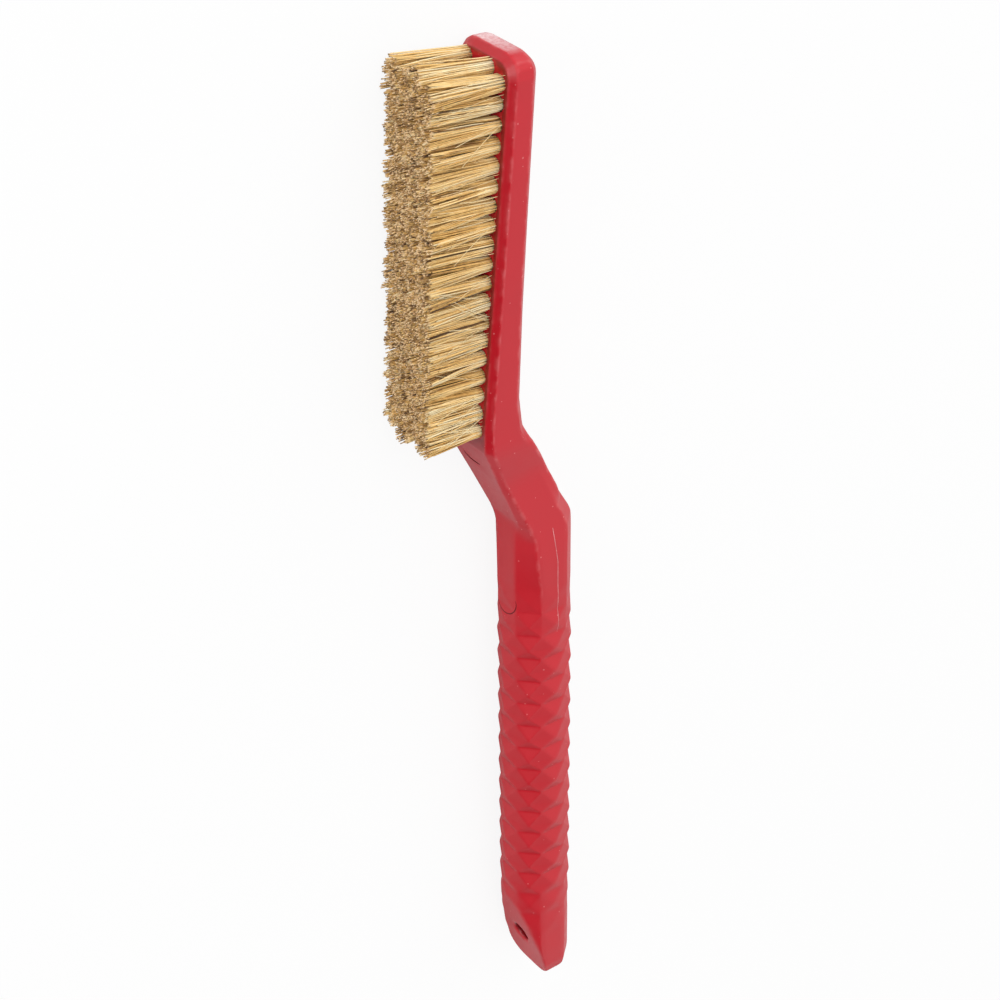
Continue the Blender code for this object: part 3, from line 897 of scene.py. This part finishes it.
def grow_tuft(centre, strand, settings, random):
    """Return the corners of every strand of one tuft with their tones, endings and rises."""
    count, clumps = settings.strands, settings.clumps
    spots = unit_disc(count, random)
    middles = unit_disc(clumps, random) * CLUMP_REACH
    nearest = np.linalg.norm(spots[:, None] - middles[None], axis=2).argmin(1)
    lean = random.normal(0.0, settings.clump_lean, (clumps, 2))
    tips = spots * settings.tip_radius + lean[nearest]
    tips += (middles[nearest] - spots) * settings.tip_radius * settings.clump_pull
    tips += random.normal(0.0, settings.strand_scatter, tips.shape)
    lengths = bristle_length(centre[1]) + random.normal(0.0, settings.clump_trim, clumps)[nearest]
    lengths += random.normal(0.0, settings.trim_scatter, count)
    lengths += settings.long_tip * (random.uniform(size=count) > LONG_DRAW)
    short = random.uniform(size=count) * (random.uniform(size=count) > SHORT_DRAW)
    lengths -= settings.short_tip * short
    radii = settings.strand_radius * random.uniform(*STRAND_WIDTHS, count)
    width = random.normal(1.0, TUFT_WIDTH_SCATTER)
    roots = np.array(centre) + spots * settings.root_radius * width
    roots += random.normal(0.0, settings.root_scatter, roots.shape)
    tips += random.normal(0.0, settings.tuft_lean, 2)
    tips = np.array(centre) + tips
    corners, rises = shape_strands(strand, roots, tips, lengths, radii, settings, random)

    tone = settings.common_tone + random.normal(0.0, settings.tuft_tone)
    tone = tone + random.normal(0.0, settings.clump_tone, clumps)[nearest]
    tone += random.normal(0.0, settings.strand_tone, count)
    tone -= DARK_TONE * (random.uniform(size=count) > DARK_DRAW)
    ending = random.normal(settings.common_ending, ENDING_SCATTER, count)
    ending += random.normal(0.0, CLUMP_ENDING_SCATTER, clumps)[nearest]
    # Some ends are painted dark for the shade in the gaps between the tips
    ending *= np.where(random.uniform(size=count) > DARK_END_DRAW, DARK_END_SHARE, 1.0)
    sides = len(strand[0])
    inner = np.interp(np.linalg.norm(spots, axis=1), *INNER_FADE)
    # Painted shade darkens the upper strands in a tuft's middle, and painted light makes the roots
    # paler against their own shade
    shade = np.repeat(inner * settings.inner_shade, sides) * (rises > UPPER_RISES)
    shade -= settings.root_light * (rises < LOWER_RISES)
    return corners, np.repeat(tone, sides) - shade, np.repeat(ending, sides), rises


def grow_strays(strand, settings, random):
    """Return the corners of the loose hairs that cross the tufts of the upper row."""
    count = settings.strays
    along = random.uniform(0.0, FIELD_LENGTH, count)
    edge = FIELD_HALF_WIDTH + settings.tip_radius + settings.strand_radius
    roots = np.stack((np.full(count, FIELD_HALF_WIDTH + settings.root_radius), along), 1)
    drift = random.normal(0.0, settings.stray_drift, count)
    tips = np.stack((np.full(count, edge), np.clip(along + drift, 0.0, FIELD_LENGTH)), 1)
    lengths = bristle_length(along) * random.uniform(*STRAY_LENGTHS, count)
    radii = settings.strand_radius * random.uniform(*STRAY_WIDTHS, count)
    corners, rises = shape_strands(strand, roots, tips, lengths, radii, settings, random)
    tone = np.repeat(random.uniform(*STRAY_TONES, count), len(strand[0]))
    return corners, tone, tone, rises


def make_bristles(name, tufts, strand, material, *nodes):
    """Make one piece of the strands of several tufts."""
    corners, tones, endings, rises = (np.concatenate(values) for values in zip(*tufts))
    points, faces = strand
    every = [
        tuple(corner + start for corner in face)
        for start in range(0, len(corners), len(points))
        for face in faces
    ]
    mesh = bpy.data.meshes.new(name)
    mesh.from_pydata(corners.tolist(), [], every)
    mesh.transform(FACE)
    mesh.shade_smooth()
    for label, values in (("tone", tones), ("ending", endings), ("reach", rises)):
        mark(mesh, label, values)
    piece = add_object(name, mesh)
    give_materials(piece, material)
    hand_over(piece, "bristles", *nodes)


class BRUSH_OT_tufts(bpy.types.Operator):
    """Grow the strands of every tuft"""

    bl_idname = "brush.tufts"
    bl_label = "Tufts"

    def execute(self, context):
        settings = context.scene.brush_bristles
        random = np.random.RandomState(settings.seed)
        strand = model_strand()
        material = make_bristle(settings)
        for half, number in all_pairs():
            place = f"{'ab'[half]}{number + 1:02d}"
            centres = tuft_centres(half, number)
            tufts = [grow_tuft(centre, strand, settings, random) for centre in centres]
            make_bristles(f"bristles_{place}", tufts, strand, material, f"tuft_pair_{place}")
        strays = grow_strays(strand, settings, random)
        make_bristles("stray_hairs", [strays], strand, material)
        return {"FINISHED"}


# Stage


def add_card(name, size, place, power):
    """Add a soft rectangular lamp that faces the brush."""
    bpy.ops.object.light_add(type="AREA", location=place)
    lamp = bpy.context.object
    lamp.name = name
    lamp.data.shape = "RECTANGLE"
    lamp.data.size, lamp.data.size_y = size
    lamp.data.energy = power
    towards = Vector(LAMP_TARGET) - Vector(place)
    lamp.rotation_euler = towards.to_track_quat("-Z", "Y").to_euler()


class BRUSH_OT_stage(bpy.types.Operator):
    """Set the floor, the soft lamps and the camera"""

    bl_idname = "brush.stage"
    bl_label = "Stage"

    def execute(self, context):
        settings = context.scene.brush_stage
        self.make_floor(settings)
        self.make_world(context, settings)
        for name, size, place, power in LAMPS:
            add_card(name, size, place, getattr(settings, power))
        self.make_camera(context)
        return {"FINISHED"}

    def make_floor(self, settings):
        """Lay a plain pale floor under the brush."""
        bpy.ops.mesh.primitive_plane_add(size=6.0)
        floor = bpy.context.object
        floor.name = "floor"
        pale = Finish("pale_floor")
        pale.finish(Base_Color=settings.floor, Roughness=0.9)
        plain = Wire(pale, pale.shader.outputs[0])
        white = pale.add("ShaderNodeEmission", None, {"Color": WHITE})
        mixed = pale.unless_seen(settings.glow, plain, white)
        pale.put(pale.tree.nodes["Material Output"].inputs["Surface"], mixed)
        floor.data.materials.append(pale.material)

    def make_world(self, context, settings):
        """Give the room an even pale light with one dark side, white where the camera sees it."""
        world = bpy.data.worlds.new("studio")
        world.use_nodes = True
        context.scene.world = world
        room = Nodes(world.node_tree)
        room.tree.nodes.remove(room.tree.nodes["Background"])
        facing = room.add("ShaderNodeTexCoord", output="Generated")
        product = {"operation": "DOT_PRODUCT"}
        towards = room.add("ShaderNodeVectorMath", product, {0: facing, 1: DARK_SIDE}, "Value")
        ends = math.cos(settings.dark_reach), math.cos(settings.dark_core)
        light = room.spread(towards, *ends, settings.room_light, settings.dark_light, "SMOOTHSTEP")
        plain, white = (
            room.add("ShaderNodeBackground", None, {"Color": WHITE, "Strength": strength})
            for strength in (light, 1.0)
        )
        mixed = room.unless_seen(1.0, plain, white)
        room.put(room.tree.nodes["World Output"].inputs["Surface"], mixed)
        context.scene.view_settings.view_transform = "Standard"

    def make_camera(self, context):
        """Put the camera where the photograph was taken from."""
        bpy.ops.object.camera_add()
        camera = bpy.context.object
        camera.name = "camera"
        camera.matrix_world = axes_at(CAMERA_PLACE, CAMERA_RIGHT, CAMERA_UP, CAMERA_BACK)
        camera.data.lens = CAMERA_LENS
        camera.data.clip_start = 0.01
        camera.data.clip_end = 20.0
        context.scene.camera = camera


# Settings


def setting(kind, **rules):
    """Return a function that makes one kind of property of a name, a description and a default."""
    return lambda name, description, default: kind(
        name=name, description=description, default=default, **rules
    )


Count = setting(bpy.props.IntProperty, min=1)
Sides = setting(bpy.props.IntProperty, min=8)
Number = setting(bpy.props.FloatProperty)
Length = setting(bpy.props.FloatProperty, unit="LENGTH", precision=5)
Angle = setting(bpy.props.FloatProperty, subtype="ANGLE")
Power = setting(bpy.props.FloatProperty, unit="POWER")
Colour = setting(bpy.props.FloatVectorProperty, size=4, subtype="COLOR", min=0.0, max=1.0)


class HandleSettings(bpy.types.PropertyGroup):
    """Sizes and colours of the moulded handle."""

    mesh_size: Length("Mesh size", "Size of the moulding's smallest faces", 0.25 * MM)
    facet_passes: Count("Facet passes", "How often every edge is smoothed", 8)
    neck_passes: Count("Neck passes", "How often the neck is smoothed again", 6)
    plain_passes: Count("Plain passes", "How often the grip's plain part is smoothed again", 24)
    butt_passes: Count("Butt passes", "How often the butt is smoothed again", 50)
    most_triangles: Count("Most triangles", "Faces that the moulding keeps", 170000)
    sharp_angle: Angle(
        "Sharp angle", "Folds steeper than this are shaded as sharp edges", math.radians(35.0)
    )
    push: Length("Push", "How far the smoothed surface is pushed out again", 0.16 * MM)
    # Wear and the painted highlight on the edges grow between these two curvatures
    least_fold: Number("Least fold", "Curvature, per metre, where wear starts", 150.0)
    most_fold: Number("Most fold", "Curvature, per metre, of the most worn edges", 550.0)
    line_radius: Length("Line radius", "Half the width of the raised line", 0.11 * MM)
    groove_radius: Length("Groove radius", "Half the width of the grip's line", 0.12 * MM)
    arc_radius: Length("Arc radius", "Half the width of the neck's line", 0.34 * MM)
    hole_radius: Length("Tuft hole radius", "Radius of a tuft's hole", 1.6 * MM)
    hole_depth: Length("Tuft hole depth", "Depth of a tuft's hole", 2.0 * MM)
    hole_sides: Sides("Tuft hole sides", "Faces round a tuft's hole", 20)
    red: Colour("Red", "Colour of the plastic", (0.51, 0.007, 0.017, 1.0))
    shade: Colour("Shade", "Colour of the plastic where it is cloudy", (0.48, 0.006, 0.015, 1.0))
    # The specks' colour, also used for the edges' wear and their painted highlight
    dust_and_sheen: Colour("Dust", "Colour of the specks", (0.80, 0.30, 0.30, 1.0))
    # The tip's scuff with its painted highlight, and the painted sheen and glint, take this colour
    chalk_and_highlight: Colour("Chalk", "Colour of the scuffed end of the tip", (0.80, 0.66, 0.67, 1.0))
    # Painted shade: the holes, the mould's lines, the tufted face and its chamfer take this colour,
    # and the next one gives the holes and lines lighter spots
    deep: Colour("Deep", "Colour in the bottom of the holes", (0.12, 0.001, 0.002, 1.0))
    lighter_painted_shade: Colour("Pit", "Colour of the lighter spots there", (0.14, 0.003, 0.005, 1.0))


class BristleSettings(bpy.types.PropertyGroup):
    """Sizes and colours of the bristle."""

    seed: Count("Seed", "Start of the scatter", 11)
    strands: Count("Strands", "Strands in each tuft", 180)
    clumps: Count("Clumps", "Bunches that a tuft splits into", 14)
    strays: Count("Strays", "Loose hairs that cross the tufts", 40)
    strand_radius: Length("Strand radius", "Radius of a strand at its root", 0.125 * MM)
    tip_thinness: Number("Tip thinness", "Width of a strand's end against its root", 1.0)
    root_radius: Length("Root radius", "Radius of a tuft in its hole", 1.42 * MM)
    tip_radius: Length("Tip radius", "Radius of a tuft at its tips", 2.65 * MM)
    root_scatter: Length("Root scatter", "How unevenly the strands are set", 0.09 * MM)
    tuft_lean: Length("Tuft lean", "How far a whole tuft leans at its tips", 0.18 * MM)
    root_depth: Length("Root depth", "How deep the strands reach into the head", 1.9 * MM)
    clump_lean: Length("Clump lean", "How far a bunch leans at its tips", 0.3 * MM)
    clump_pull: Number("Clump pull", "How far strands gather in their bunch", 0.3)
    clump_trim: Length("Clump trim", "How unevenly the bunches are cut", 0.2 * MM)
    strand_scatter: Length("Strand scatter", "How far a tip strays sideways", 0.16 * MM)
    trim_scatter: Length("Trim scatter", "How unevenly the tips are cut", 0.08 * MM)
    long_tip: Length("Long tip", "How far a few tips stand proud", 0.5 * MM)
    short_tip: Length("Short tip", "How far some tips stay short", 2.2 * MM)
    bow: Length("Bow", "How far a strand bows in its middle", 0.14 * MM)
    stray_drift: Length("Stray drift", "How far a loose hair leans", 3.5 * MM)
    cut_start: Number("Cut start", "Where the tone of the cut end starts", 0.97)
    common_tone: Number("Common tone", "Tone of most strands", 0.58)
    common_ending: Number("Common ending", "Tone of most cut ends", 0.92)
    inner_shade: Number("Inner shade", "How much darker a tuft's middle is", 0.35)
    root_light: Number("Root light", "How much paler the strands are at their roots", 0.14)
    tuft_tone: Number("Tuft tone", "How much the tone changes between tufts", 0.06)
    clump_tone: Number("Clump tone", "How much the tone changes between bunches", 0.13)
    strand_tone: Number("Strand tone", "How much the tone changes between strands", 0.17)
    dark: Colour("Dark", "Darkest strands", (0.10, 0.05, 0.018, 1.0))
    brown: Colour("Brown", "Brown strands", (0.34, 0.18, 0.06, 1.0))
    gold: Colour("Gold", "Golden strands", (0.78, 0.47, 0.14, 1.0))
    pale: Colour("Pale", "Pale strands", (0.96, 0.68, 0.29, 1.0))
    cream: Colour("Cream", "Palest strands", (0.96, 0.84, 0.55, 1.0))
    straw: Colour("Straw", "Palest cut ends", (0.98, 0.72, 0.42, 1.0))
    tan: Colour("Tan", "Common cut ends", (0.70, 0.42, 0.20, 1.0))


class StageSettings(bpy.types.PropertyGroup):
    """Light and floor of the studio."""

    left_power: Power("Left lamp", "Power of the left lamp", 4.8)
    top_power: Power("Top lamp", "Power of the lamp above", 6.0)
    tip_power: Power("Tip lamp", "Power of the lamp beyond the tip", 3.0)
    room_light: Number("Room light", "Strength of the even light", 0.95)
    dark_light: Number("Dark side", "Strength of the light on the dark side", 0.03)
    dark_core: Angle("Dark core", "Half the width of its darkest part", math.radians(22.0))
    dark_reach: Angle("Dark reach", "Half the width of the dark side", math.radians(46.0))
    glow: Number("Floor glow", "Share of white that the camera sees", 0.9)
    floor: Colour("Floor", "Colour of the floor", (0.82, 0.82, 0.82, 1.0))


class BRUSH_PT_panel(bpy.types.Panel):
    """Lists the brush's pieces and their settings"""

    bl_label = "Climbing Brush"
    bl_idname = "BRUSH_PT_panel"
    bl_space_type = "VIEW_3D"
    bl_region_type = "UI"
    bl_category = "Brush"

    def draw(self, context):
        groups = (
            (BRUSH_OT_handle, context.scene.brush_handle),
            (BRUSH_OT_tufts, context.scene.brush_bristles),
            (BRUSH_OT_stage, context.scene.brush_stage),
        )
        for operator, settings in groups:
            box = self.layout.box()
            box.operator(operator.bl_idname)
            for name in settings.__annotations__:
                box.prop(settings, name)


SETTINGS = {
    "brush_handle": HandleSettings,
    "brush_bristles": BristleSettings,
    "brush_stage": StageSettings,
}
CLASSES = (*SETTINGS.values(), BRUSH_OT_handle, BRUSH_OT_tufts, BRUSH_OT_stage, BRUSH_PT_panel)


def register():
    """Make the classes known and give the scene their settings."""
    for made in CLASSES:
        bpy.utils.register_class(made)
    for name, group in SETTINGS.items():
        setattr(bpy.types.Scene, name, bpy.props.PointerProperty(type=group))


def unregister():
    """Take the settings and the classes away again."""
    for name in SETTINGS:
        delattr(bpy.types.Scene, name)
    for made in reversed(CLASSES):
        bpy.utils.unregister_class(made)


def main():
    """Build the brush and its stage."""
    register()
    bpy.ops.brush.stage()
    bpy.ops.brush.handle()
    bpy.ops.brush.tufts()


if __name__ == "__main__":
    main()
